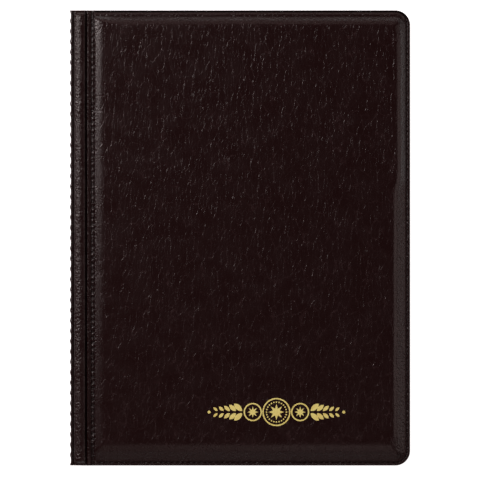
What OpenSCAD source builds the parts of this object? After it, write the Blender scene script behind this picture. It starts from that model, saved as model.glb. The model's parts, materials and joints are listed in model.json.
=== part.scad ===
// Pocket coin album: two padded, welded covers, a hinged spine and ten leaves of coin pockets.
// It lies closed on its back cover. +X runs from the spine to the fore-edge, +Y from tail to head
// and +Z from the back cover to the front cover. The origin is the middle of the underside.

/* [Album] */
// Width of the closed album, over the spine ribs
album_w = 138.3; // [130:0.1:150]
// Height of the album, from tail to head
album_h = 185; // [178:0.5:200]
// Radius of the fore-edge corners
corner_r = 6; // [4:0.5:9]

/* [Covers] */
// Thickness of the grained outer skin
skin_t = 0.45; // [0.4:0.05:0.5]
// Thickness of the smooth lining
lining_t = 0.3; // [0.25:0.01:0.3]
// Thickness of the greyboard stiffener
board_t = 1.5; // [1.2:0.1:1.5]
// Thickness of the foam wadding
foam_t = 1.2; // [1:0.1:1.5]
// Width of the welded flange round each cover
flange_w = 1.5; // [1.2:0.1:1.6]
// Thickness of the welded flange and webs
web_t = 0.6; // [0.6:0.01:0.65]
// Width of the bevel between the flange and the flat face
bevel_w = 4.5; // [4:0.1:6]
// Thickness of the gold foil
foil_t = 0.05; // [0.04:0.01:0.1]

/* [Spine] */
// Distance from the spine edge to the groove that the covers fold on
groove_x = 9.1; // [9:0.1:10]
// Chord of the round roll along the spine edge
roll_w = 6; // [5.5:0.1:6.2]
// Height of the roll above its web
roll_h = 1.25; // [1.2:0.05:1.7]
// Spacing of the ribs across the spine
rib_pitch = 4.2; // [3.5:0.1:6]
// Height of the ribs
rib_r = 0.35; // [0.25:0.05:0.4]

/* [Leaves] */
// Number of leaves
leaf_count = 10; // [4:1:12]
// Spacing of the leaves along the spine
leaf_pitch = 1.0; // [1:0.1:2]
// Thickness of each film in a leaf
film_t = 0.25; // [0.15:0.01:0.25]
// Columns of pockets on a leaf
pocket_columns = 3; // [2:1:4]
// Rows of pockets on a leaf
pocket_rows = 4; // [3:1:5]
// Width of the plain margin at the spine
leaf_margin = 12; // [10:0.5:16]
// Radius of the thumb notch in each pocket
notch_r = 8; // [6:0.5:9]

/* [Hidden] */
$fn = 64;
HULL_FN = 32;
sliver = 0.01;

// Whole album
half_h = album_h / 2;
spine_x = -album_w / 2;
fore_x = album_w / 2;
cover_t = lining_t + board_t + foam_t + skin_t;
leaf_clear = 0.5;
cavity_h = (leaf_count - 1) * leaf_pitch + 2 * film_t + 2 * leaf_clear;
rear_inner_z = cover_t;
front_inner_z = rear_inner_z + cavity_h;

// Folds: each runs along Y through the middle of a web, and the next part starts a little way off
fold_gap = 0.5;
edge_fold_inset = 0.6;
groove_fold_x = spine_x + groove_x;
edge_fold_x = spine_x + rib_r + edge_fold_inset;
spine_gap = 0.15;

// Outline of a cover's padding, as levels of [inset, distance in from the groove fold, height]
pad_base = [flange_w, 1.3, lining_t];
pad_shoulder = [flange_w + 2.9, 2.1, 2.4];
pad_top = [flange_w + bevel_w, 5.3, cover_t];
smallest_corner_r = 1;
board_inset = flange_w + 3.3;
board_groove = 2.4;
foam_base = [flange_w + 3.4, 2.7, lining_t + board_t];
foam_top = [flange_w + bevel_w + 0.1, 5.6, lining_t + board_t + foam_t];

// Roll along the spine edge: an arc on the given chord, with a small ridge between it and the groove
roll_inset = 1.25;
roll_x = spine_x + roll_inset + roll_w / 2;
roll_r = (roll_w * roll_w / 4 + roll_h * roll_h) / (2 * roll_h);
roll_z = web_t + roll_h - roll_r;
roll_half_l = half_h - flange_w;
ridge_gap = 0.4;
ridge_x = roll_x + roll_w / 2 + ridge_gap;
ridge_r = 0.3;

// Spine wall, from its outer skin inwards
wall_x = spine_x + rib_r;
wall_board_t = 0.8;
wall_board_x = wall_x + skin_t;
wall_lining_x = wall_board_x + wall_board_t;
wall_inner_x = wall_lining_x + lining_t;
wall_z0 = rear_inner_z + spine_gap;
wall_z1 = front_inner_z - spine_gap;
wall_rim = 0.8;
rib_count = floor((album_h - 2 * flange_w) / rib_pitch);

// Leaves: each has a round bead along its edge, which turns in a channel of the binding strip
bead_r = 0.35;
bead_clear = 0.05;
strip_t = 0.9;
strip_overhang = 0.5;
strip_face_x = wall_inner_x + strip_t;
bead_proud = 0.15;
bead_x = strip_face_x + bead_proud;
leaf_z = (rear_inner_z + front_inner_z - film_t) / 2;
leaf_fore_inset = 4.35;
leaf_end_inset = 3.5;
leaf_fore_x = fore_x - leaf_fore_inset;
leaf_half_h = half_h - leaf_end_inset;
leaf_corner_r = 4;
pocket_gap = 4;
pocket_weld = 0.5;
pocket_x0 = bead_x + leaf_margin;
pocket_x1 = leaf_fore_x - pocket_weld;
pocket_row_h = (2 * leaf_half_h - pocket_gap) / pocket_rows;
pocket_column_w = (pocket_x1 - pocket_x0) / pocket_columns;

// Foil emblem: a beaded coin between two smaller coins, with leaf sprays running out to each side
emblem_x = 14.8;
emblem_y = -70.6;
emblem_r = 5.7;
side_coin_r = 3.7;
side_coin_x = 9.6;
foil_line = 0.55;
bead_dots = 24;
bead_dot_r = 0.3;
bead_dot_inset = 3 * foil_line;
star_points = 8;
centre_star = [3.2, 1.5];
side_star = [2.3, 1.0];
spray_x = 13.9;
spray_leaves = 5;
spray_pitch = 2.5;
spray_leaf_l = 4.4;
leaf_disc_ratio = 0.65;
spray_shrink = 0.84;
spray_turn = 42;
spray_split = 0.45;
spray_tip_gap = 0.9;
spray_tip_r = 0.6;

skin_colour = [0.13, 0.08, 0.08];
lining_colour = [0.16, 0.10, 0.10];
board_colour = [0.52, 0.50, 0.46];
foam_colour = [0.86, 0.85, 0.80];
film_colour = [0.82, 0.87, 0.90];
pocket_colour = [0.90, 0.94, 0.96];
foil_colour = [0.80, 0.68, 0.36];

function two_digits(n) = n < 10 ? str("0", n) : str(n);
function leaf_name(n, part) = str("leaf_", two_digits(n), "_", part);

COVER_NODES = ["skin", "foam_pad", "board", "lining"];
STRIP_NODES = ["strip_skin", "strip_filler", "strip_lining"];

// ---- Shared shapes ----

// Flat outline from x0 to x1 with square corners at the spine and round ones at the fore-edge
module fore_edge_outline(x0, x1, half, r) {
    translate([x0, -half]) square([x1 - x0 - r, 2 * half]);
    translate([x0, r - half]) square([x1 - x0, 2 * (half - r)]);
    for (side = [-1, 1]) translate([x1 - r, side * (half - r)]) circle(r = r);
}

module plate(x0, x1, half, r, z0, z1) {
    translate([0, 0, z0]) linear_extrude(z1 - z0) fore_edge_outline(x0, x1, half, r);
}

module block(x0, x1, half, z0, z1) {
    translate([x0, -half, z0]) cube([x1 - x0, 2 * half, z1 - z0]);
}

module rod(x, z, r, half) {
    translate([x, half, z]) rotate([90, 0, 0]) cylinder(r = r, h = 2 * half);
}

// Puts a shape drawn with its lining at z = 0 and its outside up where the front cover is
module at_front() {
    translate([0, 0, front_inner_z]) children();
}

// Puts the same shape, face down, where the back cover is
module at_rear() {
    translate([0, 0, rear_inner_z]) mirror([0, 0, 1]) children();
}

// ---- Cover: skin, foam, board and lining, drawn with the outside up ----

// One thin slice of the padding, at the height that its level gives
module pad_slice(level, z) {
    inset = level[0];
    plate(groove_fold_x + level[1], fore_x - inset, half_h - inset,
          max(corner_r - inset, smallest_corner_r), z, z + sliver, $fn = HULL_FN);
}

module pad_body(base, top) {
    hull() {
        pad_slice(base, base[2]);
        pad_slice(top, top[2] - sliver);
    }
}

module cover_board() {
    color(board_colour)
        plate(groove_fold_x + board_groove, fore_x - board_inset, half_h - board_inset,
              max(corner_r - board_inset, smallest_corner_r), lining_t, lining_t + board_t);
}

module cover_foam_pad() {
    color(foam_colour) pad_body(foam_base, foam_top);
}

module cover_skin() {
    color(skin_colour)
        difference() {
            union() {
                plate(groove_fold_x + fold_gap, fore_x, half_h, corner_r, lining_t, web_t);
                hull() {
                    pad_slice(pad_base, pad_base[2]);
                    pad_slice(pad_shoulder, pad_shoulder[2]);
                    pad_slice(pad_top, pad_top[2] - sliver);
                }
            }
            cover_board();
            cover_foam_pad();
        }
}

module cover_lining() {
    color(lining_colour) plate(groove_fold_x + fold_gap, fore_x, half_h, corner_r, 0, lining_t);
}

// ---- Hinge strip: the roll between the groove and the spine edge, drawn with the outside up ----

// Web of the strip, with a round edge on each fold
module strip_web() {
    block(edge_fold_x, groove_fold_x, half_h, 0, web_t);
    rod(edge_fold_x, web_t / 2, web_t / 2, half_h);
    rod(groove_fold_x, web_t / 2, web_t / 2, half_h);
}

module above_lining() {
    intersection() {
        children();
        block(spine_x, groove_fold_x + fold_gap, half_h, lining_t, cover_t);
    }
}

module strip_filler() {
    color(foam_colour) above_lining() rod(roll_x, roll_z, roll_r - skin_t, roll_half_l - skin_t);
}

module strip_skin() {
    color(skin_colour)
        difference() {
            above_lining() {
                union() {
                    strip_web();
                    rod(roll_x, roll_z, roll_r, roll_half_l);
                    rod(ridge_x, web_t, ridge_r, roll_half_l);
                }
            }
            strip_filler();
        }
}

module strip_lining() {
    color(lining_colour)
        intersection() {
            strip_web();
            block(spine_x, groove_fold_x + fold_gap, half_h, 0, lining_t);
        }
}

// ---- Spine wall ----

module spine_board() {
    color(board_colour)
        block(wall_board_x, wall_lining_x, half_h - flange_w, wall_z0 + wall_rim, wall_z1 - wall_rim);
}

module spine_rib(y) {
    translate([wall_x, y, wall_z0]) cylinder(r = rib_r, h = wall_z1 - wall_z0);
}

module spine_skin() {
    color(skin_colour)
        difference() {
            union() {
                block(wall_x, wall_lining_x, half_h, wall_z0, wall_z1);
                for (n = [0 : rib_count]) spine_rib((n - rib_count / 2) * rib_pitch);
            }
            spine_board();
        }
}

module spine_lining() {
    color(lining_colour) block(wall_lining_x, wall_inner_x, half_h, wall_z0, wall_z1);
}

// ---- Binding strip and leaves, which are numbered from the front cover ----

function leaf_height(n) = leaf_z + ((leaf_count + 1) / 2 - n) * leaf_pitch;

module binding_strip() {
    channel_r = bead_r + bead_clear;
    color(lining_colour)
        difference() {
            block(wall_inner_x, strip_face_x, leaf_half_h + strip_overhang,
                  leaf_height(leaf_count) - leaf_pitch / 2, leaf_height(1) + leaf_pitch / 2);
            for (n = [1 : leaf_count]) rod(bead_x, leaf_height(n), channel_r, half_h);
        }
}

module leaf_film(n) {
    z = leaf_height(n);
    color(film_colour)
        union() {
            plate(bead_x, leaf_fore_x, leaf_half_h, leaf_corner_r, z - film_t / 2, z + film_t / 2);
            rod(bead_x, z, bead_r, leaf_half_h);
        }
}

// One row of pockets: a band of film, open at its upper edge, with a thumb notch to each pocket
module pocket_band(row) {
    y0 = row * pocket_row_h - leaf_half_h + pocket_gap / 2;
    y1 = y0 + pocket_row_h - pocket_gap;
    difference() {
        translate([pocket_x0, y0]) square([pocket_x1 - pocket_x0, y1 - y0]);
        for (column = [0 : pocket_columns - 1])
            translate([pocket_x0 + (column + 0.5) * pocket_column_w, y1]) circle(r = notch_r);
    }
}

module leaf_pockets(n) {
    color(pocket_colour)
        translate([0, 0, leaf_height(n) + film_t / 2])
            linear_extrude(film_t)
                for (row = [0 : pocket_rows - 1]) pocket_band(row);
}

// ---- Foil emblem ----

module ring(r, line) {
    difference() {
        circle(r = r);
        circle(r = r - line);
    }
}

function star_point(i, r) = let (a = 180 * i / star_points) [r * cos(a), r * sin(a)];

// A star whose points and notches lie on the two given radii in turn
module star(radii) {
    polygon([for (i = [0 : 2 * star_points - 1]) star_point(i, radii[i % 2])]);
}

// A pointed leaf of the given length, where two equal discs cross
module foil_leaf(l) {
    r = leaf_disc_ratio * l;
    off = sqrt(r * r - l * l / 4);
    intersection() {
        translate([l / 2, off]) circle(r = r);
        translate([l / 2, -off]) circle(r = r);
    }
}

module centre_coin() {
    ring(emblem_r, foil_line);
    for (i = [0 : bead_dots - 1])
        rotate(360 * i / bead_dots) translate([emblem_r - bead_dot_inset, 0]) circle(r = bead_dot_r);
    star(centre_star);
}

module side_coin() {
    ring(side_coin_r, foil_line);
    star(side_star);
}

// Pairs of leaves that shrink away from the coins, with a dot between each pair and the next
module spray() {
    for (i = [0 : spray_leaves - 1]) {
        l = spray_leaf_l * pow(spray_shrink, i);
        translate([spray_x + i * spray_pitch, 0])
            for (side = [-1, 1])
                translate([0, side * spray_split]) rotate(side * spray_turn) foil_leaf(l);
    }
    translate([spray_x + spray_leaves * spray_pitch + spray_tip_gap, 0]) circle(r = spray_tip_r);
}

module foil_emblem() {
    color(foil_colour)
        translate([emblem_x, emblem_y, front_inner_z + cover_t])
            linear_extrude(foil_t) {
                centre_coin();
                for (side = [0, 1]) mirror([side, 0]) {
                    translate([side_coin_x, 0]) side_coin();
                    spray();
                }
            }
}

// ---- Assembly ----

at_rear() cover_skin();  // rear_skin
at_rear() cover_foam_pad();  // rear_foam_pad
at_rear() cover_board();  // rear_board
at_rear() cover_lining();  // rear_lining
at_rear() strip_skin();  // rear_strip_skin
at_rear() strip_filler();  // rear_strip_filler
at_rear() strip_lining();  // rear_strip_lining
at_front() cover_skin();  // front_skin
at_front() cover_foam_pad();  // front_foam_pad
at_front() cover_board();  // front_board
at_front() cover_lining();  // front_lining
at_front() strip_skin();  // front_strip_skin
at_front() strip_filler();  // front_strip_filler
at_front() strip_lining();  // front_strip_lining
spine_skin();
spine_board();
spine_lining();
binding_strip();
foil_emblem();
for (n = [1 : leaf_count]) {
    leaf_film(n);
    leaf_pockets(n);
}
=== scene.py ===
"""Looks of a pocket coin album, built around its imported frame.

The album is welded from vinyl sheet: two padded covers, a narrow roll and a folding groove on each side of a
ribbed spine, and ten leaves of clear pockets. Every surface here is a grid of points worked out from a
formula, in millimetres, and turned into metres when its mesh is made.
"""

from __future__ import annotations

import json
import logging
import math
from dataclasses import dataclass, field
from enum import Enum

import bpy
import numpy as np
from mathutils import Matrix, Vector


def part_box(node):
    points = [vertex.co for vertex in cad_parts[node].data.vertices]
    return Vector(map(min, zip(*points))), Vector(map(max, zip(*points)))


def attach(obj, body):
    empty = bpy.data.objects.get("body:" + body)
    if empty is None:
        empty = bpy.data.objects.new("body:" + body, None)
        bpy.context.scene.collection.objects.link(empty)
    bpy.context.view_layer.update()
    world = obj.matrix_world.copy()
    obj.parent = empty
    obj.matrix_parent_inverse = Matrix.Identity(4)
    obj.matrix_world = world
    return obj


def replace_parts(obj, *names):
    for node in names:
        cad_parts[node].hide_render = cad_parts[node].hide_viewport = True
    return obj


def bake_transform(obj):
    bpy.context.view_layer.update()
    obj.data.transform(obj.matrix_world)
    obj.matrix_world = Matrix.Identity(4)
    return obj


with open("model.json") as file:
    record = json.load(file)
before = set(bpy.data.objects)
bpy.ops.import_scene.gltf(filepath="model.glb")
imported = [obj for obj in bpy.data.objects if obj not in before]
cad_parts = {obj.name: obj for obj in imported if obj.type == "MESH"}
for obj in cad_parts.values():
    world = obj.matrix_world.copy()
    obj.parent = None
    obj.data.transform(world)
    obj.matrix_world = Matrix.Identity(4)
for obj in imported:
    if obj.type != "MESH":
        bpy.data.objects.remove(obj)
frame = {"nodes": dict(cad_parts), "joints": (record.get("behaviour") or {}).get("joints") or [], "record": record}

log = logging.getLogger("coin_album")

MM = 0.001
LEAVES = 10
SHARP_ANGLE = math.radians(50)

# The length, height and share of the phase of each sine in the unevenness of hand-fed sheet
RIPPLES = ((23.0, 1.0, 1.0), (9.7, 0.6, 2.1), (5.3, 0.4, -1.0))

Array = np.ndarray
Tree = bpy.types.NodeTree
Socket = bpy.types.NodeSocket
Node = bpy.types.Node
Object = bpy.types.Object
Material = bpy.types.Material


# ---------------------------------------------------------------- numbers and frame

def smooth(t: Array) -> Array:
    """Smooth step: 0 below t = 0, 1 above t = 1, and 3t^2 - 2t^3 between."""
    t = np.clip(t, 0.0, 1.0)
    return t * t * (3.0 - 2.0 * t)


def bump_at(x: Array, centre: float | Array, half_width: float) -> Array:
    """A cosine bump of height 1 at centre, which falls to 0 half_width away on both sides."""
    t = np.clip((x - centre) / half_width, -1.0, 1.0)
    return 0.5 + 0.5 * np.cos(np.pi * t)


def ripple(t: Array, phase: float) -> Array:
    """Slow unevenness from -1 to 1: sines of unrelated lengths, over the sum of their heights."""
    waves = sum(height * np.sin(t / length + share * phase) for length, height, share in RIPPLES)
    return waves / sum(height for _, height, _ in RIPPLES)


def joint_place(name: str) -> tuple[float, float]:
    """Where a fold's axis stands, as (x, z) in millimetres.

    Args:
        name: the joint's name in the frame.

    Returns:
        Its x and z.
    """
    joint = next(j for j in frame["joints"] if j["name"] == name)
    return joint["pos_m"][0] / MM, joint["pos_m"][2] / MM


def box_mm(node: str) -> tuple[Array, Array]:
    """A CAD node's lowest and highest corners, in millimetres."""
    low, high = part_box(node)
    return np.array(low) / MM, np.array(high) / MM


class Side(Enum):
    """Which half of the album a piece belongs to."""

    FRONT = "front"
    REAR = "rear"

    def body(self, part: str) -> str:
        """The CAD body of this half's cover or strip."""
        return f"{self.value}_{part}"

    def node(self, part: str) -> str:
        """The CAD node of this half's part."""
        return f"{self.value}_{part}"


@dataclass(frozen=True)
class AlbumFrame:
    """The sizes that every piece shares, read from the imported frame, in millimetres."""

    fore_x: float
    half_h: float
    front_z: float
    rear_z: float
    cover_t: float
    groove_x: float
    edge_x: float
    wall_x: float
    wall_inner_x: float
    lining_t: float
    corner_r: float = 6.0
    flange_w: float = 1.5
    web_t: float = 0.6
    skin_t: float = 0.45

    def place(self, side: Side, x: Array, y: Array, h: Array) -> Array:
        """Points from a height over the lining's inner face, counted outwards.

        Args:
            side: which half of the album they are on.
            x: across the album.
            y: along it.
            h: height over that half's lining.

        Returns:
            The points, with x, y and z in the last axis.
        """
        z = self.front_z + h if side is Side.FRONT else self.rear_z - h
        return np.stack(np.broadcast_arrays(x, y, z), axis=-1)


def read_frame() -> AlbumFrame:
    """The shared sizes, from the boxes of the linings, skins and spine wall and from the folds' axes."""
    front_low, front_high = box_mm("front_lining")
    rear_low, rear_high = box_mm("rear_lining")
    skin_high = box_mm("front_skin")[1]
    wall_low = box_mm("spine_board")[0]
    return AlbumFrame(
        fore_x=front_high[0],
        half_h=front_high[1],
        front_z=front_low[2],
        rear_z=rear_high[2],
        cover_t=skin_high[2] - front_low[2],
        groove_x=joint_place("front_groove_fold")[0],
        edge_x=joint_place("front_edge_fold")[0],
        wall_x=wall_low[0] - AlbumFrame.skin_t,
        wall_inner_x=box_mm("spine_lining")[1][0],
        lining_t=rear_high[2] - rear_low[2],
    )


# ---------------------------------------------------------------- meshes

@dataclass
class Surface:
    """Points and faces of a piece while it is put together."""

    points: Array
    faces: list[Array]
    marks: dict[str, Array] = field(default_factory=dict)


def grid_faces(rows: int, columns: int, start: int = 0, flip: bool = False) -> Array:
    """Quads of a grid of points that are numbered row by row.

    Args:
        rows: points down.
        columns: points across.
        start: the first point's number.
        flip: turn the faces over.

    Returns:
        One row of four point numbers for each quad.
    """
    number = start + np.arange(rows * columns).reshape(rows, columns)
    corners = [number[:-1, :-1], number[:-1, 1:], number[1:, 1:], number[1:, :-1]]
    quads = np.stack(corners, axis=-1).reshape(-1, 4)
    return quads[:, ::-1] if flip else quads


def rim_of(rows: int, columns: int, start: int = 0) -> Array:
    """Numbers of the points round a grid's edge, in order."""
    number = start + np.arange(rows * columns).reshape(rows, columns)
    return np.concatenate([number[0, :-1], number[:-1, -1], number[-1, :0:-1], number[:0:-1, 0]])


def closed_shell(outer: Array, inner: Array, flip: bool) -> Surface:
    """A wall between two grids of the same size: both grids, and a strip of quads that joins their edges.

    Args:
        outer: the outer face's points, as rows by columns by 3.
        inner: the inner face's points.
        flip: turn the whole shell inside out, for a half that is drawn mirrored.

    Returns:
        The closed surface.
    """
    rows, columns = outer.shape[:2]
    count = rows * columns
    rim, deep = rim_of(rows, columns), rim_of(rows, columns, count)
    sides = np.stack([rim, deep, np.roll(deep, -1), np.roll(rim, -1)], axis=-1)
    faces = np.concatenate([
        grid_faces(rows, columns, 0, flip),
        grid_faces(rows, columns, count, not flip),
        sides[:, ::-1] if flip else sides,
    ])
    return Surface(np.concatenate([outer.reshape(-1, 3), inner.reshape(-1, 3)]), [faces])


def joined(parts: list[Surface]) -> Surface:
    """Several surfaces as one, each with its own points."""
    starts = np.cumsum([0] + [len(p.points) for p in parts[:-1]])
    faces = [f + start for p, start in zip(parts, starts) for f in p.faces]
    marks = {name: np.concatenate([p.marks[name] for p in parts]) for name in parts[0].marks}
    return Surface(np.concatenate([p.points for p in parts]), faces, marks)


def make_mesh(name: str, surface: Surface, material: Material) -> Object:
    """A mesh object from a surface, in metres, smooth shaded, with its marks as point attributes.

    Args:
        name: the object's name.
        surface: its points in millimetres, its faces and its marks.
        material: what it is made of.

    Returns:
        The object, at the origin.
    """
    mesh = bpy.data.meshes.new(name)
    loops = np.concatenate([f.ravel() for f in surface.faces]).astype(np.int32)
    totals = np.concatenate([np.full(len(f), f.shape[1]) for f in surface.faces]).astype(np.int32)
    mesh.vertices.add(len(surface.points))
    mesh.vertices.foreach_set("co", (surface.points * MM).astype(np.float32).ravel())
    mesh.loops.add(len(loops))
    mesh.loops.foreach_set("vertex_index", loops)
    mesh.polygons.add(len(totals))
    mesh.polygons.foreach_set("loop_start", np.concatenate([[0], np.cumsum(totals)[:-1]]).astype(np.int32))
    mesh.polygons.foreach_set("use_smooth", np.ones(len(totals), bool))
    for mark, values in surface.marks.items():
        mesh.attributes.new(mark, "FLOAT", "POINT").data.foreach_set("value", values.astype(np.float32))
    mesh.update(calc_edges=True)
    mesh.validate()
    mesh.set_sharp_from_angle(angle=SHARP_ANGLE)
    mesh.materials.append(material)
    made = bpy.data.objects.new(name, mesh)
    bpy.context.scene.collection.objects.link(made)
    log.info("%s: %d faces", name, len(totals))
    return made


def make_piece(name: str, surface: Surface, material: Material) -> Object:
    """A piece of the album from a surface, in the material that it is given.

    Args:
        name: the piece's name.
        surface: its points in millimetres, its faces and its marks.
        material: what it is made of.

    Returns:
        The piece.
    """
    piece = make_mesh(name, surface, material)
    return piece


# ---------------------------------------------------------------- materials

def linear(hex_colour: str) -> tuple[float, float, float, float]:
    """An sRGB hex colour such as 2A1817 as linear red, green, blue and 1."""
    parts = (int(hex_colour[i : i + 2], 16) / 255 for i in (0, 2, 4))
    return (*((c / 12.92 if c <= 0.04045 else ((c + 0.055) / 1.055) ** 2.4) for c in parts), 1.0)


def add(tree: Tree, kind: str, inputs: dict[str | int, object] | None = None, **settings: object) -> Node:
    """Adds a shader node, with its settings, and fills its inputs with values or links.

    Args:
        tree: the material's node tree.
        kind: the node's type, such as ShaderNodeBump.
        inputs: a value or another node's output for each input, by name or number.
        settings: the node's own properties.

    Returns:
        The node.
    """
    node = tree.nodes.new(kind)
    for name, value in settings.items():
        setattr(node, name, value)
    for name, value in (inputs or {}).items():
        if isinstance(value, bpy.types.NodeSocket):
            tree.links.new(value, node.inputs[name])
        else:
            node.inputs[name].default_value = value
    return node


def blank(name: str) -> tuple[Material, Tree, Node]:
    """A new material with only its Principled shader and output."""
    material = bpy.data.materials.new(name)
    material.use_nodes = True
    tree = material.node_tree
    tree.nodes.clear()
    shader = add(tree, "ShaderNodeBsdfPrincipled")
    add(tree, "ShaderNodeOutputMaterial", {"Surface": shader.outputs[0]})
    return material, tree, shader


def millimetres(tree: Tree, stretch: tuple[float, float, float] = (1.0, 1.0, 1.0)) -> Socket:
    """Object coordinates counted in millimetres, each divided by its stretch."""
    place = add(tree, "ShaderNodeTexCoord").outputs["Object"]
    scale = tuple(1 / MM / s for s in stretch)
    return add(tree, "ShaderNodeMapping", {"Vector": place, "Scale": scale}).outputs[0]


def sum_of(tree: Tree, *terms: tuple[Socket, float]) -> Socket:
    """Adds up outputs, each times its factor."""
    total: Socket | float = 0.0
    for term, factor in terms:
        node = add(tree, "ShaderNodeMath", {0: term, 1: factor, 2: total}, operation="MULTIPLY_ADD")
        total = node.outputs[0]
    return total


def banded(
    tree: Tree, value: Socket, low: float, high: float, out: tuple[float, float] = (0.0, 1.0)
) -> Socket:
    """A smooth step of value from low to high, onto the range out."""
    return add(
        tree,
        "ShaderNodeMapRange",
        {"Value": value, "From Min": low, "From Max": high, "To Min": out[0], "To Max": out[1]},
        interpolation_type="SMOOTHSTEP",
    ).outputs[0]


@dataclass(frozen=True)
class LeatherGrainVinyl:
    """Calendered PVC sheet, embossed with leather grain and lacquered satin.

    The embossing gives tall crinkled cells, whose thin creases catch the light in short broken strokes, and a
    fine pebble that sparkles on the slopes. The creases are also coloured lighter, partly the grain's own tint and
    partly painted highlight. Where the sheet is drawn over an edge or welded, the creases are pressed out and the
    pebble shows more. A weld's seams and pressed grooves are painted darker, as painted shade, and reflect
    little. Lengths are in millimetres.
    """

    name: str
    colour: str = "1C0707"
    # Crease colour: lighter, partly the grain's own tint and partly painted highlight
    crease_tint_and_highlight: str = "301E1F"
    # Seam colour: painted shade for welded seams and pressed grooves
    seam_shade_colour: str = "0A0404"
    roughness: float = 0.275
    specular: float = 0.36
    crease_cell: tuple[float, float, float] = (2.7, 7.2, 2.7)
    crease_width: float = 0.06
    crease_depth: float = 0.04
    crease_tint_and_highlight_share: float = 0.42
    crease_wander: float = 1.5
    fine_share: float = 0.5
    stroke: tuple[float, float, float] = (1.2, 2.4, 1.2)
    pebble: float = 0.5
    pebble_depth: float = 0.075
    drawn_pebble: float = 0.85
    drawn_depth: float = 0.3
    seam_dullness: float = 0.12
    seam_specular: float = 0.06
    blotch: float = 9.0
    blotch_tone: float = 0.2
    pebble_tone: float = 0.2
    tone_band: tuple[float, float] = (0.15, 1.0)
    gloss_band: tuple[float, float] = (-0.04, 0.05)
    wander: float = 3.5
    fine_width: float = 1.4
    fine_strength: float = 0.6
    stroke_band: tuple[float, float] = (0.36, 0.68)
    least_stroke: float = 0.34
    creased: bool = True

    def build(self) -> Material:
        """The material, which reads two attributes: grain, where creases are, and seam, the painted shade of
        welded seams and pressed grooves.
        """
        material, tree, shader = blank(self.name)
        base = millimetres(tree)
        pebble = add(tree, "ShaderNodeTexNoise", {"Vector": base, "Scale": 1 / self.pebble, "Detail": 2.0})
        blotch = add(tree, "ShaderNodeTexNoise", {"Vector": base, "Scale": 1 / self.blotch, "Detail": 3.0})
        flat = add(tree, "ShaderNodeAttribute", attribute_name="grain").outputs["Fac"]
        drawn = add(tree, "ShaderNodeTexNoise", {"Vector": base, "Scale": 1 / self.drawn_pebble, "Detail": 2.0})
        drawn_depth = banded(tree, flat, 0.0, 1.0, (self.drawn_depth, 0.0))
        lumps = add(tree, "ShaderNodeMath", {0: drawn.outputs[0], 1: drawn_depth}, operation="MULTIPLY")
        height = sum_of(tree, (lumps.outputs[0], 1.0), (pebble.outputs[0], self.pebble_depth))
        tone_and_highlight = sum_of(tree, (blotch.outputs[0], self.blotch_tone), (pebble.outputs[0], self.pebble_tone))
        if self.creased:
            crease = self.creases(tree, base, flat)
            height = sum_of(tree, (height, 1.0), (crease, -self.crease_depth))
            # Creases mixed towards the lighter crease colour: partly the grain's own tint, partly painted
            # highlight
            tone_and_highlight = sum_of(tree, (tone_and_highlight, 1.0), (crease, self.crease_tint_and_highlight_share))
        mixed = add(
            tree,
            "ShaderNodeMix",
            {"Factor": banded(tree, tone_and_highlight, *self.tone_band), "A": linear(self.colour),
             "B": linear(self.crease_tint_and_highlight)},
            data_type="RGBA",
        )
        # The seam attribute is painted shade: welded seams and pressed grooves are painted towards the seam
        # colour, and made rougher and less shiny
        seam = add(tree, "ShaderNodeAttribute", attribute_name="seam").outputs["Fac"]
        with_painted_shade = add(tree, "ShaderNodeMix",
                     {"Factor": seam, "A": mixed.outputs["Result"], "B": linear(self.seam_shade_colour)},
                     data_type="RGBA")
        low, high = self.gloss_band
        gloss = banded(tree, blotch.outputs[0], 0.2, 0.8, (self.roughness + low, self.roughness + high))
        bump = add(tree, "ShaderNodeBump", {"Height": height, "Distance": MM, "Strength": 1.0})
        tree.links.new(with_painted_shade.outputs["Result"], shader.inputs["Base Color"])
        tree.links.new(sum_of(tree, (gloss, 1.0), (seam, self.seam_dullness)), shader.inputs["Roughness"])
        tree.links.new(bump.outputs[0], shader.inputs["Normal"])
        shader.inputs["IOR"].default_value = 1.5
        tree.links.new(banded(tree, seam, 0.0, 1.0, (self.specular, self.seam_specular)),
                       shader.inputs["Specular IOR Level"])
        return material

    def creases(self, tree: Tree, base: Socket, flat: Socket) -> Socket:
        """1 along the creases and 0 between them: the borders of tall cells and of finer cells inside them,
        bent by noise, and broken into strokes by a second noise.

        Args:
            tree: the material's node tree.
            base: coordinates in millimetres.
            flat: the piece's grain attribute.

        Returns:
            The crease pattern, times the grain attribute.
        """
        wander = add(tree, "ShaderNodeTexNoise", {"Vector": base, "Scale": 1 / self.wander, "Detail": 3.0})
        bend = (self.crease_wander,) * 3
        bent = add(tree, "ShaderNodeVectorMath", {0: wander.outputs["Color"], 1: bend, 2: base},
                   operation="MULTIPLY_ADD")
        layers = []
        fine = (self.fine_share, self.fine_width * self.crease_width, self.fine_strength)
        for share, width, strength in ((1.0, self.crease_width, 1.0), fine):
            cell = tuple(1 / (share * c) for c in self.crease_cell)
            scaled = add(tree, "ShaderNodeVectorMath", {0: bent.outputs[0], 1: cell}, operation="MULTIPLY")
            edge = add(tree, "ShaderNodeTexVoronoi", {"Vector": scaled.outputs[0], "Scale": 1.0},
                       feature="DISTANCE_TO_EDGE")
            layers.append((banded(tree, edge.outputs["Distance"], width, 0.0), strength))
        strokes = add(tree, "ShaderNodeTexNoise", {"Vector": millimetres(tree, self.stroke), "Scale": 1.0,
                                                   "Detail": 1.0})
        shown = banded(tree, strokes.outputs[0], *self.stroke_band, (self.least_stroke, 1.0))
        pattern = add(tree, "ShaderNodeMath", {0: sum_of(tree, *layers), 1: shown}, operation="MULTIPLY")
        return add(tree, "ShaderNodeMath", {0: pattern.outputs[0], 1: flat}, operation="MULTIPLY").outputs[0]


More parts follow.
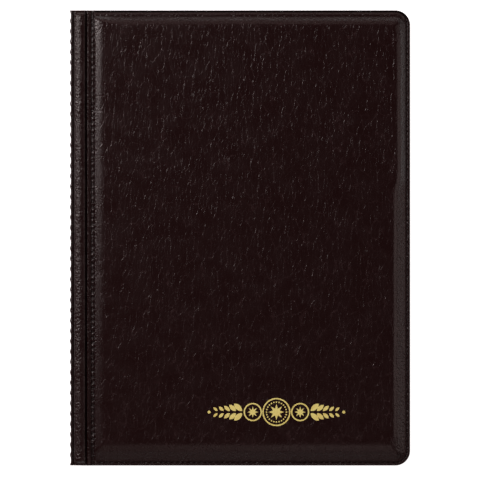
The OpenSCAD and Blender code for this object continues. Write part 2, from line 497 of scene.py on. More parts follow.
@dataclass(frozen=True)
class SmoothVinyl:
    """Plain calendered PVC lining: even, slightly soft gloss, with the faint orange peel of the rollers."""

    name: str
    colour: str = "2B1D1C"
    roughness: float = 0.48
    peel: float = 1.4
    peel_depth: float = 0.02
    peel_colour: str = "33231F"

    def build(self) -> Material:
        """The lining's material."""
        material, tree, shader = blank(self.name)
        base = millimetres(tree)
        peel = add(tree, "ShaderNodeTexNoise", {"Vector": base, "Scale": 1 / self.peel, "Detail": 3.0})
        bump = add(tree, "ShaderNodeBump",
                   {"Height": sum_of(tree, (peel.outputs[0], self.peel_depth)), "Distance": MM})
        shade = banded(tree, peel.outputs[0], 0.2, 0.8)
        mixed = add(tree, "ShaderNodeMix",
                    {"Factor": shade, "A": linear(self.colour), "B": linear(self.peel_colour)},
                    data_type="RGBA")
        tree.links.new(mixed.outputs["Result"], shader.inputs["Base Color"])
        tree.links.new(bump.outputs[0], shader.inputs["Normal"])
        shader.inputs["Roughness"].default_value = self.roughness
        return material


@dataclass(frozen=True)
class GoldStampingFoil:
    """Hot stamped satin foil: metal flake under a pale gold lacquer. It takes on the grain it is pressed into,
    so it looks bright from every side and a little patchy where the stamp pressed less."""

    name: str
    colour: str = "FFF694"
    thin_colour: str = "F8E682"
    roughness: float = 0.46
    metal: float = 0.12
    grit: float = 0.5
    grit_depth: float = 0.03
    worn: float = 2.6
    worn_depth: float = 0.05
    spread: float = 0.12

    def build(self) -> Material:
        """The foil's material."""
        material, tree, shader = blank(self.name)
        base = millimetres(tree)
        grit = add(tree, "ShaderNodeTexNoise", {"Vector": base, "Scale": 1 / self.grit, "Detail": 2.0})
        worn = add(tree, "ShaderNodeTexNoise", {"Vector": base, "Scale": 1 / self.worn, "Detail": 3.0})
        mixed = add(tree, "ShaderNodeMix",
                    {"Factor": banded(tree, worn.outputs[0], 0.4, 0.75), "A": linear(self.colour),
                     "B": linear(self.thin_colour)}, data_type="RGBA")
        height = sum_of(tree, (grit.outputs[0], self.grit_depth), (worn.outputs[0], self.worn_depth))
        bump = add(tree, "ShaderNodeBump", {"Height": height, "Distance": MM})
        tree.links.new(mixed.outputs["Result"], shader.inputs["Base Color"])
        tree.links.new(bump.outputs[0], shader.inputs["Normal"])
        tree.links.new(banded(tree, grit.outputs[0], 0.2, 0.8, (self.roughness, self.roughness + self.spread)),
                       shader.inputs["Roughness"])
        shader.inputs["Metallic"].default_value = self.metal
        return material


@dataclass(frozen=True)
class ClearVinylFilm:
    """Clear soft PVC film: see-through, glossy and faintly blue, with long soft waves from the roll. The welds
    are pressed with a fine knurl, so they look frosted: less see-through and less glossy."""

    name: str
    colour: str = "E2E8EB"
    opacity: float = 0.15
    weld_opacity: float = 0.3
    wave_depth: float = 0.1
    roughness: float = 0.1
    weld_roughness: float = 0.3
    stretch: tuple[float, float, float] = (1.0, 2.4, 1.0)
    wave: float = 14.0
    haze: float = 3.0
    haze_depth: float = 0.004
    haze_spread: float = 0.02
    specular: float = 0.6

    def build(self) -> Material:
        """The film's material, which reads the attribute weld, 1 where the film is welded."""
        material, tree, shader = blank(self.name)
        base = millimetres(tree, self.stretch)
        wave = add(tree, "ShaderNodeTexNoise", {"Vector": base, "Scale": 1 / self.wave, "Detail": 2.0})
        haze = add(tree, "ShaderNodeTexNoise", {"Vector": base, "Scale": 1 / self.haze, "Detail": 3.0})
        height = sum_of(tree, (wave.outputs[0], self.wave_depth), (haze.outputs[0], self.haze_depth))
        bump = add(tree, "ShaderNodeBump", {"Height": height, "Distance": MM})
        tree.links.new(bump.outputs[0], shader.inputs["Normal"])
        weld = add(tree, "ShaderNodeAttribute", attribute_name="weld").outputs["Fac"]
        clear = banded(tree, haze.outputs[0], 0.2, 0.8,
                       (self.opacity - self.haze_spread, self.opacity + self.haze_spread))
        tree.links.new(sum_of(tree, (clear, 1.0), (weld, self.weld_opacity)), shader.inputs["Alpha"])
        tree.links.new(banded(tree, weld, 0.0, 1.0, (self.roughness, self.weld_roughness)),
                       shader.inputs["Roughness"])
        shader.inputs["Base Color"].default_value = linear(self.colour)
        shader.inputs["Specular IOR Level"].default_value = self.specular
        return material


@dataclass(frozen=True)
class PressedBoard:
    """Greyboard from pulped waste paper: dull warm grey, flecked with darker and lighter fibres."""

    name: str
    colour: str = "8C877D"
    fleck: str = "6A655C"
    fibre: tuple[float, float, float] = (0.5, 2.0, 0.2)
    fibre_depth: float = 0.05
    roughness: float = 0.9

    def build(self) -> Material:
        """The board's material."""
        material, tree, shader = blank(self.name)
        fibres = add(tree, "ShaderNodeTexNoise", {"Vector": millimetres(tree, self.fibre), "Scale": 1.0,
                                                  "Detail": 4.0})
        mixed = add(tree, "ShaderNodeMix",
                    {"Factor": banded(tree, fibres.outputs[0], 0.45, 0.7), "A": linear(self.colour),
                     "B": linear(self.fleck)}, data_type="RGBA")
        bump = add(tree, "ShaderNodeBump",
                   {"Height": sum_of(tree, (fibres.outputs[0], self.fibre_depth)), "Distance": MM})
        tree.links.new(mixed.outputs["Result"], shader.inputs["Base Color"])
        tree.links.new(bump.outputs[0], shader.inputs["Normal"])
        shader.inputs["Roughness"].default_value = self.roughness
        return material


@dataclass(frozen=True)
class FoamWadding:
    """Thin polyurethane foam sheet: soft cream, matt, with open cells about half a millimetre across."""

    name: str
    colour: str = "E3DFCF"
    # Shade colour: painted shade in the hollows of the cells
    shade: str = "C9C3AE"
    cell: float = 0.5
    cell_depth: float = 0.1
    roughness: float = 0.95

    def build(self) -> Material:
        """The foam's material."""
        material, tree, shader = blank(self.name)
        cells = add(tree, "ShaderNodeTexVoronoi", {"Vector": millimetres(tree), "Scale": 1 / self.cell})
        # Painted shade: each cell is painted in the shade colour towards its middle, where the bump is lowest
        mixed = add(tree, "ShaderNodeMix",
                    {"Factor": banded(tree, cells.outputs["Distance"], 0.1, 0.6), "A": linear(self.shade),
                     "B": linear(self.colour)}, data_type="RGBA")
        height = sum_of(tree, (cells.outputs["Distance"], self.cell_depth))
        bump = add(tree, "ShaderNodeBump", {"Height": height, "Distance": MM})
        tree.links.new(mixed.outputs["Result"], shader.inputs["Base Color"])
        tree.links.new(bump.outputs[0], shader.inputs["Normal"])
        shader.inputs["Roughness"].default_value = self.roughness
        return material


@dataclass
class Finishes:
    """Every material of the album, built once."""

    grained: Material = field(default_factory=LeatherGrainVinyl("leather_grain_vinyl").build)
    welded: Material = field(
        default_factory=LeatherGrainVinyl("welded_vinyl", roughness=0.27, creased=False).build)
    lining: Material = field(default_factory=SmoothVinyl("smooth_vinyl_lining").build)
    foil: Material = field(default_factory=GoldStampingFoil("gold_stamping_foil").build)
    film: Material = field(default_factory=ClearVinylFilm("clear_vinyl_film").build)
    pocket: Material = field(
        default_factory=ClearVinylFilm("clear_vinyl_pocket", opacity=0.12, roughness=0.14).build)
    board: Material = field(default_factory=PressedBoard("greyboard").build)
    foam: Material = field(default_factory=FoamWadding("foam_wadding").build)


# ---------------------------------------------------------------- covers

# How far in from the cover's edge each row of the flange's points runs, close together at the seam
FLANGE_PLACES = (0, 0.08, 0.2, 0.35, 0.5, 0.65, 0.8, 0.95, 1.1, 1.2, 1.3, 1.4, 1.5, 1.6, 1.75, 1.9)


@dataclass
class PaddedCover:
    """One cover: the padded skin, its foam and the welded flange round it. Lengths are in millimetres."""

    album: AlbumFrame
    side: Side
    finishes: Finishes
    groove_inset: float = 0.75
    narrowing: float = 2.9
    narrow_reach: float = 11.0
    narrow_straight_share: float = 0.97
    groove_bevel: float = 4.3
    groove_wall: float = 0.64
    groove_wall_w: float = 0.14
    head_bevel: float = 5.5
    tail_bevel: float = 8.2
    fore_bevel: float = 4.6
    fore_swell: float = 1.0
    fore_swell_y: float = 22.0
    straight_share: float = 0.5
    swell_straight_share: float = 0.86
    edge_band: float = 9.0
    cell: float = 0.85
    seam_pitch: float = 2.25
    seam_depth: float = 0.24
    ridge_rise: float = 0.54
    lip_w: float = 0.9
    lip_slope: float = 0.6
    flange_reach: float = 2.6
    fore_zone: float = 14.0
    fore_fade: float = 8.0
    corner_fade: float = 6.0
    swell_fade: float = 9.0
    tail_fade: float = 60.0
    waver: float = 0.2
    groove_waver: float = 0.18
    grain_from: float = 0.62
    grain_over: float = 0.33
    side_zone: float = 4.0
    side_fade: float = 3.0
    seam_at: float = 1.25
    seam_head_shift: float = 0.85
    seam_tail_shift: float = 0.1
    seam_half: float = 0.42
    least_tooth: float = 0.35
    ridge_gap: float = 0.3
    ridge_head_gap: float = 0.1
    ridge_w: float = 0.9
    least_ridge: float = 0.1
    dark_half: float = 0.55
    dark_head_cut: float = 0.15
    head_dark_to: float = 0.88
    head_dark_fade: float = 0.12
    tooth_steps: int = 8
    least_wall: float = 0.001
    foam_inset: float = 3.4
    foam_cell: float = 4.0
    foam_set_in: float = 1.4
    foam_set_reach: float = 20.0
    foam_gap: float = 0.03
    least_foam: float = 0.02

    def pad_x0(self) -> float:
        """Where the padding starts, beside the groove."""
        return self.album.groove_x + self.groove_inset

    def spaced(self, low: float, high: float, fine: float, band: float) -> Array:
        """Places from low to high that crowd to both ends: a three-halves power of even steps in each band.

        Args:
            low: the first place.
            high: the last place.
            fine: mean spacing inside the bands.
            band: each band's width.

        Returns:
            The places, in order.
        """
        edge = band * np.linspace(0.0, 1.0, int(band / fine) + 1) ** 1.5
        count = int((high - low - 2 * band) / self.cell)
        middle = np.linspace(low + band, high - band, count + 1)[1:-1]
        return np.concatenate([low + edge, middle, high - edge[::-1]])

    def rounded_grid(self, inset: float, fine: float) -> tuple[Array, Array]:
        """A grid over the padding's outline: even rows and columns, with the two squares at the fore-edge
        corners mapped to quarter discs, where (a, b) goes to (a sqrt(1 - b^2/2), b sqrt(1 - a^2/2)).

        Args:
            inset: how far in from the cover's edge the outline lies.
            fine: spacing near the edges.

        Returns:
            x and y of each point.
        """
        album, r = self.album, self.album.corner_r - inset
        xs = self.spaced(self.pad_x0(), album.fore_x - inset, fine, self.edge_band)
        ys = self.spaced(inset - album.half_h, album.half_h - inset, fine, self.edge_band)
        x, y = np.meshgrid(xs, ys)
        cx, cy = album.fore_x - inset - r, album.half_h - inset - r
        a, b = np.clip((x - cx) / r, 0, None), np.clip((np.abs(y) - cy) / r, 0, None)
        corner = (a > 0) & (b > 0)
        round_x = cx + r * a * np.sqrt(1 - b * b / 2)
        round_y = np.sign(y) * (cy + r * b * np.sqrt(1 - a * a / 2))
        return np.where(corner, round_x, x), np.where(corner, round_y, y)

    def edge_distance(self, x: Array, y: Array) -> Array:
        """How far in a point lies from the cover's edge, which has square corners at the spine and round ones
        at the fore-edge: the usual signed distance of a rounded box."""
        album, r = self.album, self.album.corner_r
        qx, qy = x - (album.fore_x - r), np.abs(y) - (album.half_h - r)
        outside = np.hypot(np.clip(qx, 0, None), np.clip(qy, 0, None))
        return r - (outside + np.minimum(np.maximum(qx, qy), 0.0))

    def chamfer(self, t: Array, straight: Array) -> Array:
        """Rise of a bevel that climbs evenly over its straight share and then rounds off: the integral of a
        slope that is 1 up to the share and falls evenly to 0 at t = 1, scaled to end at 1."""
        late = np.clip(t - straight, 0, None)
        return (t - late**2 / (2 * (1 - straight))) / (0.5 + 0.5 * straight)

    def fullness(self, x: Array, y: Array) -> Array:
        """How full the padding is, from 0 at its edge to 1 on the flat.

        The groove's bevel is a steep wall with a parabolic crown and the others are chamfers. They meet by a
        fourth-power sum, (edge^4 + groove^4)^(1/4), so their corner is crisp. The fore-edge bevel is fuller in
        its lower part, and the tail's is the widest.
        """
        album = self.album
        at_fore = smooth((x - (album.fore_x - self.fore_zone)) / self.fore_fade)
        at_fore = at_fore * smooth((album.half_h - self.corner_fade - np.abs(y)) / self.corner_fade)
        swollen = smooth((self.fore_swell_y - y) / self.swell_fade + 0.5) * at_fore
        at_tail = smooth(0.5 - y / self.tail_fade)
        by_groove = smooth(1 - (x - self.pad_x0()) / self.narrow_reach) * (1 - at_tail)
        plain = self.head_bevel + at_tail * (self.tail_bevel - self.head_bevel) - self.narrowing * by_groove
        width = plain + at_fore * (self.fore_bevel - plain) + self.fore_swell * swollen
        width = width + self.waver * ripple(x + y, phase=0.7)
        straight = self.straight_share + swollen * (self.swell_straight_share - self.straight_share)
        straight = straight + by_groove * (self.narrow_straight_share - straight)
        into = np.clip((self.edge_distance(x, y) - album.flange_w) / width, 0, 1)
        edge = 1 - self.chamfer(into, straight)
        groove_width = self.groove_bevel + self.groove_waver * ripple(y, phase=1.9)
        into = np.clip((x - self.pad_x0()) / groove_width, 0, 1)
        crown = 1 - self.groove_wall
        groove = 1 - self.groove_wall * smooth(into / self.groove_wall_w) - crown * (1 - (1 - into) ** 2)
        return 1 - np.clip((edge**4 + groove**4) ** 0.25, 0, 1)

    def skin_height(self, x: Array, y: Array) -> Array:
        """Height of the skin over the lining's inner face."""
        base = self.album.lining_t
        return base + (self.album.cover_t - base) * self.fullness(x, y)

    def padded_skin(self) -> Object:
        """The grained skin over the padding: outer face at the skin's height, inner face one skin lower."""
        album = self.album
        x, y = self.rounded_grid(album.flange_w, 0.5)
        height = self.skin_height(x, y)
        under = np.maximum(height - album.skin_t, album.lining_t)
        surface = closed_shell(album.place(self.side, x, y, height),
                               album.place(self.side, x, y, under - self.least_wall), self.side is Side.REAR)
        grain = smooth((self.fullness(x, y) - self.grain_from) / self.grain_over).ravel()
        surface.marks["grain"] = np.concatenate([grain, grain])
        return make_piece(f"{self.side.value}_padded_skin", surface, self.finishes.grained)

    def foam(self) -> Object:
        """The foam between the board and the skin, to the same formula, just inside the skin."""
        album = self.album
        coarse = PaddedCover(album, self.side, self.finishes, cell=self.foam_cell)
        x, y = coarse.rounded_grid(album.flange_w + self.foam_inset, 1.0)
        x = x + self.foam_set_in * (1 - smooth((x - self.pad_x0()) / self.foam_set_reach))
        board_low, board_high = box_mm(self.side.node("board"))
        low = board_high[2] - album.front_z if self.side is Side.FRONT else album.rear_z - board_low[2]
        top = np.maximum(self.skin_height(x, y) - album.skin_t - self.foam_gap, low + self.least_foam)
        surface = closed_shell(album.place(self.side, x, y, top),
                               album.place(self.side, x, y, np.full_like(x, low)), self.side is Side.REAR)
        return make_piece(f"{self.side.value}_wadding", surface, self.finishes.foam)

    def flange_path(self) -> tuple[Array, Array, Array, Array, Array]:
        """The cover's edge from the groove at the head, round the fore-edge, to the groove at the tail.

        Returns:
            x and y along it, the inward direction's x and y, and the distance travelled.
        """
        album, r = self.album, self.album.corner_r
        x0, cx, cy = album.groove_x + 0.5, album.fore_x - r, album.half_h - r
        straight, side, arc = cx - x0, 2 * cy, r * math.pi / 2
        total = 2 * straight + side + 2 * arc
        s = np.linspace(0, total, int(total / (self.seam_pitch / self.tooth_steps)) + 1)
        stops = np.cumsum([0, straight, arc, side, arc, straight])
        turn = np.clip((s - stops[1]) / arc, 0, 1) + np.clip((s - stops[3]) / arc, 0, 1)
        angle = math.pi / 2 * (1 - turn)
        x = np.clip(x0 + s, None, cx) - np.clip(s - stops[4], 0, None)
        y = cy - np.clip(s - stops[2], 0, side)
        x, y = x + r * np.cos(angle), y + r * np.sin(angle)
        return x, y, -np.cos(angle), -np.sin(angle), s

    def flange(self) -> Object:
        """The welded flange: a ribbon swept along the edge. Across it run a thin lip, the seam with its row of
        teeth, and a step up to the padding, which is tall at the head and faint elsewhere. The seam lies
        further in at the fore-edge and tail than at the head."""
        album = self.album
        x, y, nx, ny, s = self.flange_path()
        d = np.array([*FLANGE_PLACES, self.flange_reach])[None, :]
        head = smooth((y - album.half_h + self.side_zone) / self.side_fade)[:, None]
        tail = smooth((-y - album.half_h + self.side_zone) / self.side_fade)[:, None]
        seam = self.seam_at - self.seam_head_shift * head + self.seam_tail_shift * tail
        toothed = np.maximum(np.maximum(head, tail), self.least_tooth)
        tooth = 0.5 + 0.5 * np.cos(2 * np.pi * s / self.seam_pitch)[:, None]
        groove = bump_at(d, seam, self.seam_half) * (1 - toothed + toothed * smooth(tooth * 1.6 - 0.2))
        step = np.clip((d - seam - self.ridge_gap - self.ridge_head_gap * head) / self.ridge_w, 0, 1)
        ridge = step * (self.least_ridge + (1 - self.least_ridge) * head)
        lip = 1 - self.lip_slope * (1 - head) * np.clip(1 - d / self.lip_w, 0, 1)
        height = album.lining_t + (album.web_t - album.lining_t) * lip
        height = height - self.seam_depth * groove + self.ridge_rise * ridge
        height = height + 0.02 * ripple(s, phase=0.3)[:, None]
        px, py = x[:, None] + nx[:, None] * d, y[:, None] + ny[:, None] * d
        base = np.full_like(height, album.lining_t)
        surface = closed_shell(album.place(self.side, px, py, np.maximum(height, base + 0.02)),
                               album.place(self.side, px, py, base), self.side is Side.FRONT)
        # Painted shade: the seam line, deeper at each tooth, and the lip at the head are painted darker; the inner
        # face takes the full mark
        seam_line_shade = bump_at(d, seam, self.dark_half - self.dark_head_cut * head) * (0.65 + 0.5 * tooth)
        painted_shade = np.clip(seam_line_shade + head * smooth((self.head_dark_to - d) / self.head_dark_fade), 0, 1)
        surface.marks["seam"] = np.concatenate([painted_shade.ravel(), np.ones(painted_shade.size)])
        return make_piece(f"{self.side.value}_weld_flange", surface, self.finishes.welded)

    def dress(self) -> None:
        """Builds the cover's pieces and hides the plain solids that they stand for."""
        body = self.side.body("cover")
        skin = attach(self.padded_skin(), body)
        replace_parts(skin, self.side.node("skin"))
        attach(self.flange(), body)
        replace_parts(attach(self.foam(), body), self.side.node("foam_pad"))


# ---------------------------------------------------------------- hinge strips and spine

@dataclass
class HingeStrip:
    """The strip between a cover and the spine, as two pieces that meet on the crest of its roll: one bends over
    the groove to the cover, and the other bends over the edge to the spine wall. Lengths are in millimetres."""

    album: AlbumFrame
    side: Side
    finishes: Finishes
    rib_pitch: float = 4.2
    rib_height: float = 0.35
    roll_inset: float = 1.45
    roll_w: float = 5.2
    roll_h: float = 1.25
    crest_share: float = 0.63
    flank_power: float = 2.1
    rung_pitch: float = 2.3
    rung_height: float = 0.18
    ladder_at: float = 9.6
    ridge_at: float = 7.5
    ridge_rise: float = 0.32
    edge_line_at: float = 1.45
    seam_depth: float = 0.18
    tooth_pitch: float = 2.25
    edge_r: float = 0.6
    wall_reach: float = 1.6
    wadding_inset: float = 0.5
    wadding_ends: float = 4.0
    row_step: float = 0.4
    pinch_at: float = 1.1
    pinch_over: float = 1.5
    width_waver: float = 0.02
    roll_waver: float = 0.03
    ridge_half: float = 0.62
    ladder_half: float = 0.7
    end_seam_at: float = 0.55
    end_seam_half: float = 0.4
    least_rung: float = 0.15
    rung_zone: float = 5.0
    rung_fade: float = 6.0
    edge_line_half: float = 0.55
    behind_gap: float = 0.8
    behind_half: float = 0.6
    fold_reach: float = 0.75
    web_end: float = 1.75

    def spine_x(self) -> float:
        """The album's spine edge, over the ribs."""
        return self.album.wall_x - self.rib_height

    def crest_x(self) -> float:
        """The top of the roll, which leans towards the groove."""
        return self.spine_x() + self.roll_inset + self.crest_share * self.roll_w

    def rows(self) -> Array:
        """Places along the strip, from tail to head."""
        count = int(2 * self.album.half_h / self.row_step)
        return np.linspace(-self.album.half_h, self.album.half_h, count + 1)[:, None]

    def rise(self, x: Array, y: Array) -> Array:
        """Height over the lining's inner face: a web with a roll on it, a ridge, and a ladder of rungs between
        two grooves. The roll climbs from the spine as 1 - (1 - t)^flank_power, drops to the groove as a quarter
        ellipse, and is pinched flat by the welds at both ends."""
        end = self.album.half_h - np.abs(y)
        pinch = np.sqrt(1 - (1 - np.clip((end - self.pinch_at) / self.pinch_over, 0, 1)) ** 2)
        spread = self.roll_w * (1 + self.width_waver * ripple(y, phase=2.4))
        up = np.clip(1 - (self.crest_x() - x) / (self.crest_share * spread), 0, 1)
        over = np.clip((x - self.crest_x()) / ((1 - self.crest_share) * spread), 0, 1)
        flank = np.where(x < self.crest_x(), 1 - (1 - up) ** self.flank_power, np.sqrt(1 - over**2))
        roll = self.roll_h * (1 + self.roll_waver * ripple(y, phase=0.4)) * flank * pinch
        ridge = self.ridge_rise * bump_at(x, self.spine_x() + self.ridge_at, self.ridge_half)
        ladder = bump_at(x, self.spine_x() + self.ladder_at, self.ladder_half)
        ladder = self.rung_height * ladder * self.rungs(y)
        teeth = 0.5 + 0.5 * np.cos(2 * np.pi * x / self.tooth_pitch)
        seam = self.seam_depth * bump_at(end, self.end_seam_at, self.end_seam_half) * teeth
        return self.album.web_t + roll + ridge + ladder - self.seam_depth * self.grooves(x, y) - seam

    def rungs(self, y: Array) -> Array:
        """1 on each rung of the ladder and 0 between them, faint near both ends of the strip."""
        inside = smooth((self.album.half_h - np.abs(y) - self.rung_zone) / self.rung_fade)
        shown = self.least_rung + (1 - self.least_rung) * inside
        return smooth((0.5 + 0.5 * np.cos(2 * np.pi * y / self.rung_pitch)) * 2.0 - 0.7) * shown

    def grooves(self, x: Array, y: Array) -> Array:
        """How deep the strip's pressed lines are, from 0 to 1: one beside the spine edge, one behind the roll,
        one on each side of the ladder, of which the first is shallower at the rungs, and the gaps between the
        rungs themselves."""
        first, second = self.spine_x() + self.ladder_at - 0.75, self.spine_x() + self.ladder_at + 0.65
        edge = bump_at(x, self.spine_x() + self.edge_line_at, self.edge_line_half)
        behind = bump_at(x, self.spine_x() + self.ridge_at - self.behind_gap, self.behind_half)
        beside = bump_at(x, first, 0.45) * (1 - 0.5 * self.rungs(y)) + bump_at(x, second, 0.25)
        beside = beside + 0.8 * bump_at(x, self.spine_x() + self.ladder_at, 0.5) * (1 - self.rungs(y))
        return np.clip(edge + behind + beside, 0, 1)

    def groove_piece(self) -> Object:
        """The half that bends over the groove: from the roll's crest to just under the cover's padding."""
        album = self.album
        x = np.linspace(self.crest_x(), album.groove_x + self.web_end, 44)[None, :]
        y = self.rows()
        height = self.rise(x, y)
        under = np.maximum(height - album.skin_t, album.lining_t)
        surface = closed_shell(album.place(self.side, x, y, height), album.place(self.side, x, y, under),
                               self.side is Side.REAR)
        # Painted shade: the pressed lines are painted darker by how deep they are; the inner face takes the full
        # mark
        painted_shade = self.grooves(x, y)
        surface.marks["seam"] = np.concatenate([painted_shade.ravel(), np.ones(painted_shade.size)])
        return make_piece(f"{self.side.value}_groove_web", surface, self.finishes.welded)

    def ribs(self, y: Array) -> Array:
        """Ribs across the spine: the upper halves of a row of rounds, as a raised sine to a low power."""
        wave = 0.5 + 0.5 * np.cos(2 * np.pi * y / self.rib_pitch)
        return self.rib_height * wave**2.2

    def edge_piece(self) -> Object:
        """The half that bends over the edge: from the roll's crest, over a quarter round, and down the spine
        wall. Its profile is a line along the strip, an arc and a line down the wall, and its inner face is one
        skin in."""
        album = self.album
        corner_x, wall_x = album.wall_x + self.edge_r, album.wall_x
        along = np.linspace(self.crest_x(), corner_x, 26)
        turn = np.linspace(0, math.pi / 2, 9)[1:]
        down = np.linspace(0, self.wall_reach, 8)[1:]
        top = album.web_t
        round_x = corner_x - self.edge_r * np.sin(turn)
        px = np.concatenate([along, round_x, np.full(len(down), wall_x)])[None, :]
        arc_h = top - self.edge_r + self.edge_r * np.cos(turn)
        flat_h = np.concatenate([np.full(len(along), top), arc_h, top - self.edge_r - down])[None, :]
        out = np.concatenate([np.zeros(len(along)), np.sin(turn), np.ones(len(down))])[None, :]
        y = self.rows()
        on_strip = (1 - out > 0.999).astype(float)
        lift = (self.rise(np.maximum(px, corner_x), y) - top) * on_strip
        x = px - self.ribs(y) * smooth(out)
        height = flat_h + lift
        in_x = px + album.skin_t * out
        in_h = np.where(on_strip > 0, np.maximum(height - album.skin_t, album.lining_t),
                        flat_h - album.lining_t * (1 - out))
        surface = closed_shell(album.place(self.side, x, y, height), album.place(self.side, in_x, y, in_h),
                               self.side is Side.FRONT)
        # Painted shade: the pressed lines are painted darker by how deep they are; the inner face takes the full
        # mark
        painted_shade = self.grooves(px, y) * on_strip
        surface.marks["seam"] = np.concatenate([painted_shade.ravel(), np.ones(painted_shade.size)])
        return make_piece(f"{self.side.value}_edge_web", surface, self.finishes.welded)

    def wadding(self) -> Object:
        """The filler inside the roll, to the roll's own formula, one skin lower."""
        album = self.album
        start = self.spine_x() + self.roll_inset + self.wadding_inset
        x = np.linspace(start, start + self.roll_w - 2 * self.wadding_inset, 16)[None, :]
        end = album.half_h - self.wadding_ends
        y = np.linspace(-end, end, 90)[:, None]
        top = np.maximum(self.rise(x, y) - album.skin_t - 0.04, album.lining_t + 0.03)
        low = np.full_like(top, album.lining_t + 0.01)
        surface = closed_shell(album.place(self.side, x, y, top), album.place(self.side, x, y, low),
                               self.side is Side.REAR)
        return make_piece(f"{self.side.value}_roll_wadding", surface, self.finishes.foam)

    def dress(self) -> None:
        """Builds the strip's pieces, bakes the two halves in place, puts the wadding on the strip and hides the
        plain solids.
        """
        strip, cover = self.side.body("strip"), self.side.body("cover")
        groove = self.groove_piece()
        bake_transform(groove)
        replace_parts(groove, self.side.node("strip_skin"))
        edge = self.edge_piece()
        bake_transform(edge)
        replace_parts(edge, self.side.node("strip_skin"))
        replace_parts(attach(self.wadding(), strip), self.side.node("strip_filler"))


@dataclass
class SpineWall:
    """The ribbed wall between the two strips."""

    album: AlbumFrame
    finishes: Finishes
    strip: HingeStrip

    def dress(self) -> None:
        """Builds the wall's skin: an outer face with ribs, and an inner face that is thick round the board."""
        album, strip = self.album, self.strip
        low = album.rear_z - album.web_t + strip.edge_r + strip.wall_reach
        high = album.front_z + album.web_t - strip.edge_r - strip.wall_reach
        y, z = strip.rows(), np.linspace(low, high, 14)[None, :]
        outer_x = album.wall_x - strip.ribs(y)
        board_low, board_high = box_mm("spine_board")
        rim = smooth((np.abs(y) - board_high[1]) / 0.4 + 0.5)
        inner_x = board_low[0] - 0.01 + rim * (board_high[0] - board_low[0])
        outer = np.stack(np.broadcast_arrays(outer_x, y, z), axis=-1)
        inner = np.stack(np.broadcast_arrays(inner_x, y, z), axis=-1)
        surface = closed_shell(outer, inner, False)
        piece = make_piece("spine_wall_skin", surface, self.finishes.welded)
        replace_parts(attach(piece, "spine"), "spine_skin")


# ---------------------------------------------------------------- leaves

@dataclass
class PocketLeaf:
    """One leaf: a clear film that carries four bands of three pockets. Lengths are in millimetres."""

    album: AlbumFrame
    number: int
    finishes: Finishes
    columns: int = 3
    rows: int = 4
    gap: float = 4.0
    notch_r: float = 8.0
    weld_at: float = 0.7
    weld_half: float = 0.9
    weld_zone: float = 3.0
    weld_depth: float = 0.16
    swell: float = 0.10
    swell_reach: float = 9.0
    mouth_lift: float = 0.12
    least_film: float = 0.06

    def name(self, part: str) -> str:
        """This leaf's name, with a part's name after it."""
        return f"leaf_{self.number:02d}_{part}"

    def band(self, low: Array, high: Array, row: int) -> Surface:
        """One row of pockets: a thin sheet whose upper edge dips in a round notch at each pocket, which swells
        a little between the welds and is pressed down along them.

        Args:
            low: the pockets' lowest corner.
            high: their highest corner.
            row: which row, counted from the tail.

        Returns:
            The band as a closed shell.
        """
        pitch = (high[1] - low[1] + self.gap) / self.rows
        y0, y1 = low[1] + row * pitch, low[1] + (row + 1) * pitch - self.gap
        width = (high[0] - low[0]) / self.columns
        x = np.linspace(low[0], high[0], self.columns * 36 + 1)[None, :]
        u = (x - low[0]) % width - width / 2
        notch = np.sqrt(np.clip(self.notch_r**2 - u**2, 0, None))
        t = np.linspace(0, 1, 19)[:, None]
        y = y0 + t * (y1 - notch - y0)
        near = np.minimum(width / 2 - np.abs(u), y - y0)
        weld = bump_at(near, self.weld_at, self.weld_half) * (near < self.weld_zone)
        swell = self.swell * smooth(near / self.swell_reach)
        swell = swell * (0.6 + 0.4 * np.sin(0.31 * x + 0.23 * y + self.number))
        lift = self.mouth_lift * smooth((t - 0.9) / 0.1) * smooth(near / self.weld_zone)
        top = high[2] - self.weld_depth * weld + swell + lift
        under = np.minimum(low[2] + 0.5 * (swell + lift), top - self.least_film)
        outer = np.stack(np.broadcast_arrays(x, y, top), axis=-1)
        inner = np.stack(np.broadcast_arrays(x, y, under), axis=-1)
        surface = closed_shell(outer, inner, False)
        mouth = smooth((t - 0.93) / 0.05) * 0.5
        frosted = np.clip(weld + mouth, 0, 1).ravel()
        surface.marks["weld"] = np.concatenate([frosted, frosted])
        return surface

    def dress(self) -> None:
        """Builds the pockets in place of the leaf's plain pockets."""
        low, high = box_mm(self.name("pockets"))
        bands = joined([self.band(low, high, row) for row in range(self.rows)])
        piece = make_piece(self.name("pocket_bands"), bands, self.finishes.pocket)
        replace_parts(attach(piece, f"leaf_{self.number:02d}"), self.name("pockets"))


# ---------------------------------------------------------------- frame nodes, light and camera

def dress_nodes(finishes: Finishes) -> None:
    """Puts a material on every CAD node by the record's slot, in sight or inside."""
    by_slot = {
        "cover_pvc": finishes.grained,
        "lining_pvc": finishes.lining,
        "greyboard": finishes.board,
        "foam": finishes.foam,
        "gold_foil": finishes.foil,
        "leaf_film": finishes.film,
        "pocket_film": finishes.pocket,
    }
    for part in frame["record"]["subparts"]:
        mesh = frame["nodes"][part["node"]].data
        mesh.materials.clear()
        mesh.materials.append(by_slot[part["material_slot"]])


@dataclass(frozen=True)
class Softbox:
    """A soft rectangular lamp that faces the album: its place and size in metres, power in watts and colour."""

    name: str
    place: tuple[float, float, float]
    width: float
    depth: float
    power: float
    tint: str = "FFFFFF"

    def hang(self) -> None:
        """Adds the lamp to the scene."""
        data = bpy.data.lights.new(self.name, "AREA")
        data.shape, data.size, data.size_y, data.energy = "RECTANGLE", self.width, self.depth, self.power
        data.color = linear(self.tint)[:3]
        lamp = bpy.data.objects.new(self.name, data)
        lamp.location = self.place
        lamp.rotation_euler = (-Vector(self.place)).to_track_quat("-Z", "Y").to_euler()
        bpy.context.scene.collection.objects.link(lamp)


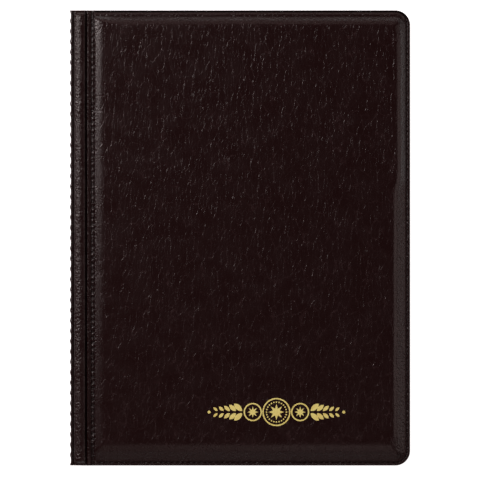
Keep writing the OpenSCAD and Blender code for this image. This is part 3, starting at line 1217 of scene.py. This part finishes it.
@dataclass
class Studio:
    """A lit white table under soft light, and a long lens straight above. The camera's height is in metres."""

    album: AlbumFrame
    height: float = 1.2
    field_mm: float = 194.6
    aim: tuple[float, float] = (0.03, -0.84)
    table_half: float = 6000.0
    table_drop: float = 0.02
    table_points: int = 41
    table_glow: float = 0.95
    sky: float = 0.05
    softboxes: tuple[Softbox, ...] = (
        Softbox("key", (-0.60, 0.36, 0.66), 0.26, 0.40, 6.4, "FFF1F0"),
        Softbox("fore_panel", (0.95, 0.0, 0.52), 0.5, 0.9, 1.75, "FFE2DE"),
        Softbox("head_panel", (0.0, 0.95, 0.52), 0.9, 0.4, 1.15, "FFE2DE"),
        Softbox("tail_panel", (0.0, -0.95, 0.50), 0.9, 0.4, 0.6, "FFE2DE"),
        Softbox("tail_fill", (0.15, -0.55, 0.85), 0.5, 0.3, 0.5, "FFE2DE"),
    )

    def floor(self) -> None:
        """A broad white table top of back-lit acrylic, whose own faint light softens the shadows."""
        steps = np.linspace(-self.table_half, self.table_half, self.table_points)
        x, y = np.meshgrid(steps, steps)
        points = np.stack([x, y, np.full_like(x, -self.table_drop)], axis=-1).reshape(-1, 3)
        surface = Surface(points, [grid_faces(self.table_points, self.table_points)])
        material, _, shader = blank("white_acrylic_table")
        shader.inputs["Base Color"].default_value = linear("F7F7F7")
        shader.inputs["Roughness"].default_value = 0.9
        shader.inputs["Emission Color"].default_value = linear("FFFFFF")
        shader.inputs["Emission Strength"].default_value = self.table_glow
        make_mesh("table", surface, material)

    def light(self) -> None:
        """A soft key from the head and spine, low panels round the other sides, a fill over the tail and a dim
        even sky."""
        for softbox in self.softboxes:
            softbox.hang()
        world = bpy.data.worlds.new("room")
        world.use_nodes = True
        back = world.node_tree.nodes["Background"]
        back.inputs["Color"].default_value = (1.0, 1.0, 1.0, 1.0)
        back.inputs["Strength"].default_value = self.sky
        bpy.context.scene.world = world

    def camera(self) -> None:
        """A camera straight above, whose lens takes in the field's width at the top of the album."""
        top = (self.album.front_z + self.album.cover_t) * MM
        data = bpy.data.cameras.new("camera")
        data.sensor_width = 36.0
        data.lens = data.sensor_width * (self.height - top) / (self.field_mm * MM)
        data.clip_end = 10.0
        camera = bpy.data.objects.new("camera", data)
        camera.location = (self.aim[0] * MM, self.aim[1] * MM, self.height)
        bpy.context.scene.collection.objects.link(camera)
        bpy.context.scene.camera = camera
        bpy.context.scene.view_settings.view_transform = "Standard"


# ---------------------------------------------------------------- assembly


def main() -> None:
    """Builds the album's looks around the frame, and then the light and the camera."""
    logging.basicConfig(level=logging.INFO, format="%(name)s %(message)s")
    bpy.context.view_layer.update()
    album = read_frame()
    finishes = Finishes()
    dress_nodes(finishes)
    for side in Side:
        PaddedCover(album, side, finishes).dress()
        HingeStrip(album, side, finishes).dress()
    SpineWall(album, finishes, HingeStrip(album, Side.FRONT, finishes)).dress()
    for number in range(1, LEAVES + 1):
        PocketLeaf(album, number, finishes).dress()
    studio = Studio(album)
    studio.floor()
    studio.light()
    studio.camera()


if __name__ == "__main__":
    main()
